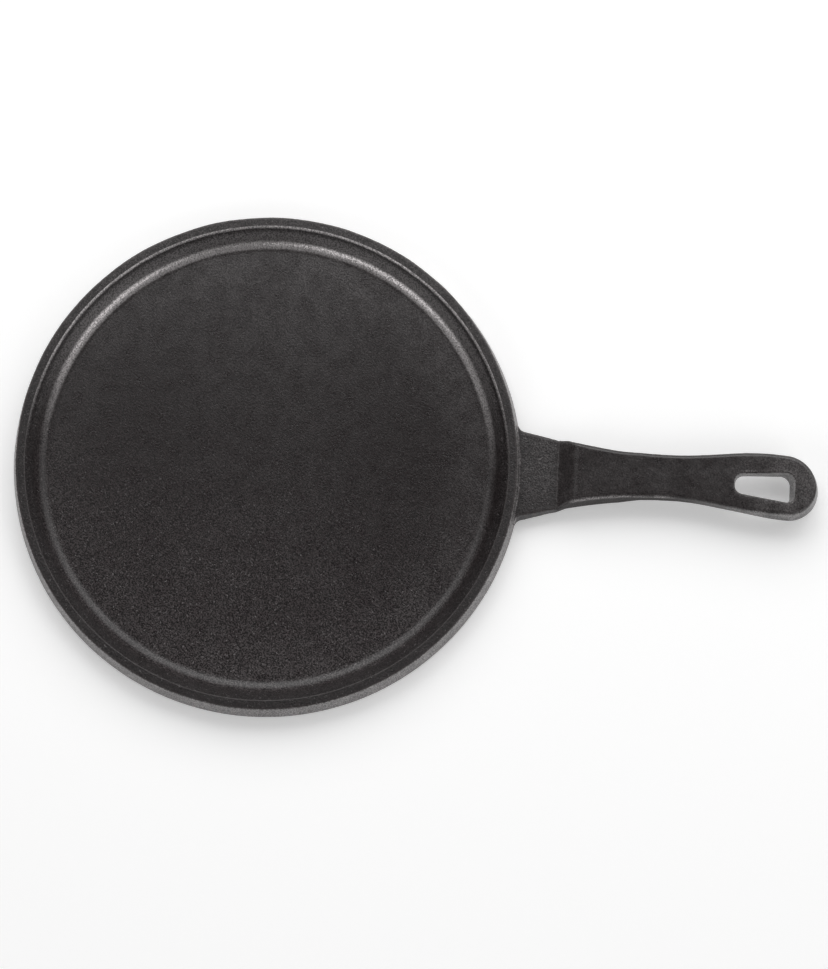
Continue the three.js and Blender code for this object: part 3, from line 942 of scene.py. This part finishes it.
AROUND_THE_SCREW = 96
DRIVER_SLOT_WIDTH = 1.6
DRIVER_SLOT_DEPTH = 1.5
OXIDE_DARK, OXIDE_LIGHT = (0.030, 0.028, 0.030), (0.085, 0.080, 0.082)
RUBBED_STEEL = (0.30, 0.29, 0.29)

screw_profile = rounded([
    (0, TANG_UNDERSIDE, 0),
    (HEAD_RADIUS, TANG_UNDERSIDE, 0.2),
    (HEAD_RADIUS, HEAD_SEAT, 0.1),
    (SCREW_RADIUS, HEAD_SEAT + HEAD_RADIUS - SCREW_RADIUS, 0.3),
    (SCREW_RADIUS, SCREW_TIP, 0.5),
    (0, SCREW_TIP, 0),
], steps=4)
screw_profile = filled(screw_profile, lambda middle: 1.0, margin=0.1)
tang_screw = turned("tang_screw", screw_profile, AROUND_THE_SCREW, (SCREW_X, 0.0))
slot_left, slot_right = SCREW_X - DRIVER_SLOT_WIDTH / 2, SCREW_X + DRIVER_SLOT_WIDTH / 2
past_the_head = 7
slot_outline = [Vector(p) for p in (
    (slot_left, -past_the_head),
    (slot_right, -past_the_head),
    (slot_right, past_the_head),
    (slot_left, past_the_head),
)]
driver_slot = block("driver_slot", slot_outline, TANG_UNDERSIDE - 1, TANG_UNDERSIDE + DRIVER_SLOT_DEPTH)
combined(tang_screw, "DIFFERENCE", driver_slot)
mark_edges(tang_screw)

blackened_steel, tree, shader = new_material("blackened_steel")
edge = placed(tree, rubbed_edge, Width=0.6, Breaks=0.4)
scale_marks = noisy(tree, in_millimetres(tree), scale=2.5, detail=4.0, roughness=0.5)
oxide = blended(tree, scale_marks, OXIDE_DARK, OXIDE_LIGHT)
tree.links.new(blended(tree, edge.outputs["Worn"], oxide, RUBBED_STEEL), shader.inputs["Base Color"])
tree.links.new(ranged(tree, scale_marks, 0.3, 0.7, 0.28, 0.5), shader.inputs["Roughness"])
shader.inputs["Metallic"].default_value = 0.9
raised(tree, shader, scale_marks, depth=0.03)

finished(tang_screw, blackened_steel, "handle_screw")


# The tawa lies on a plain white table. The table is matt, keeps the soft shadow on the near side, and is
# a little brighter to the eye than the light on it, as a photographer's white sheet is.

TABLE_HALF_WIDTH = 6.0  # metres
TABLE_DROP = 0.00005    # metres, so that it isn't in one plane with the plate's underside
TABLE_GLOW = 0.27

sheet = bmesh.new()
bmesh.ops.create_grid(sheet, x_segments=8, y_segments=8, size=TABLE_HALF_WIDTH)
table_mesh = bpy.data.meshes.new("white_table")
sheet.to_mesh(table_mesh)
sheet.free()
table = bpy.data.objects.new("white_table", table_mesh)
bpy.context.scene.collection.objects.link(table)
table.location.z = -TABLE_DROP
white_sheet, tree, shader = new_material("white_sheet")
shader.inputs["Base Color"].default_value = (0.90, 0.90, 0.90, 1.0)
shader.inputs["Roughness"].default_value = 0.9
shader.inputs["Specular IOR Level"].default_value = 0.1
rays = tree.nodes.new("ShaderNodeLightPath")
glow = tree.nodes.new("ShaderNodeEmission")
seen = arithmetic(tree, "MAXIMUM", rays.outputs["Is Camera Ray"], rays.outputs["Is Glossy Ray"])
tree.links.new(seen, glow.inputs["Color"])
glow.inputs["Strength"].default_value = TABLE_GLOW
total = tree.nodes.new("ShaderNodeAddShader")
tree.links.new(shader.outputs["BSDF"], total.inputs[0])
tree.links.new(glow.outputs["Emission"], total.inputs[1])
tree.links.new(total.outputs["Shader"], tree.nodes["Material Output"].inputs["Surface"])
table_mesh.materials.append(white_sheet)


# Plain soft studio light: an arch of large soft boxes behind, and two smaller ones in front to the left
# and right, which draw the bright lines in the far side of the floor's fillet.

def soft_box(name, azimuth, from_vertical, distance, size, watts, aim=(0.06, 0.0, 0.0)):
    """A lamp aimed at the tawa from a direction in degrees and a distance in metres."""
    lamp = bpy.data.lights.new(name, "AREA")
    lamp.shape = "RECTANGLE"
    lamp.size, lamp.size_y = size
    lamp.energy = watts
    stand = bpy.data.objects.new(name, lamp)
    turn, tilt = math.radians(azimuth), math.radians(from_vertical)
    direction = Vector((math.sin(tilt) * math.cos(turn), math.sin(tilt) * math.sin(turn), math.cos(tilt)))
    stand.location = Vector(aim) + direction * distance
    stand.rotation_euler = direction.to_track_quat("Z", "Y").to_euler()
    bpy.context.scene.collection.objects.link(stand)


far_boxes = ((40, 7.2), (75, 10.6), (110, 9.8), (133, 4.4))
for number, (azimuth, watts) in enumerate(far_boxes, 1):
    name = "far_soft_box_%d" % number
    soft_box(name, azimuth, from_vertical=48, distance=1.8, size=(1.2, 1.6), watts=watts)
soft_box("front_left_soft_box", 231, from_vertical=57, distance=1.7, size=(1.3, 1.2), watts=6.0)
soft_box("front_right_soft_box", 324, from_vertical=57, distance=1.7, size=(1.1, 1.2), watts=5.1)

world = bpy.data.worlds.new("studio")
bpy.context.scene.world = world
world.use_nodes = True
room = world.node_tree.nodes["Background"]
room.inputs["Color"].default_value = (1.0, 1.0, 1.0, 1.0)
room.inputs["Strength"].default_value = 0.08


# The camera looks down on the tawa from 2.4 m, a little from the near side, through a long lens, so that
# the rim is almost a circle and the near wall just shows.

FRAME_HEIGHT = 969
FOCAL_PIXELS = 4620.4
CAMERA_DISTANCE = 2.4
CAMERA_TILT, CAMERA_AZIMUTH, CAMERA_ROLL = 11.52, -83.78, 2.66
CAMERA_TARGET = (0.07646, -0.00628, 0.0)

tilt, azimuth, roll = math.radians(CAMERA_TILT), math.radians(CAMERA_AZIMUTH), math.radians(CAMERA_ROLL)
target = Vector(CAMERA_TARGET)
backward = Vector((math.sin(tilt) * math.cos(azimuth), math.sin(tilt) * math.sin(azimuth), math.cos(tilt)))
upward = Vector((-math.sin(roll), math.cos(roll), 0.0))
upward = (upward - backward * upward.dot(backward)).normalized()
sideways = upward.cross(backward)
lens = bpy.data.cameras.new("camera")
lens.sensor_width = 36.0
lens.lens = FOCAL_PIXELS * lens.sensor_width / FRAME_HEIGHT
camera = bpy.data.objects.new("camera", lens)
camera.matrix_world = Matrix.Translation(target + backward * CAMERA_DISTANCE) @ Matrix(
    (sideways, upward, backward)).transposed().to_4x4()
bpy.context.scene.collection.objects.link(camera)
bpy.context.scene.camera = camera
bpy.context.scene.view_settings.view_transform = "Standard"
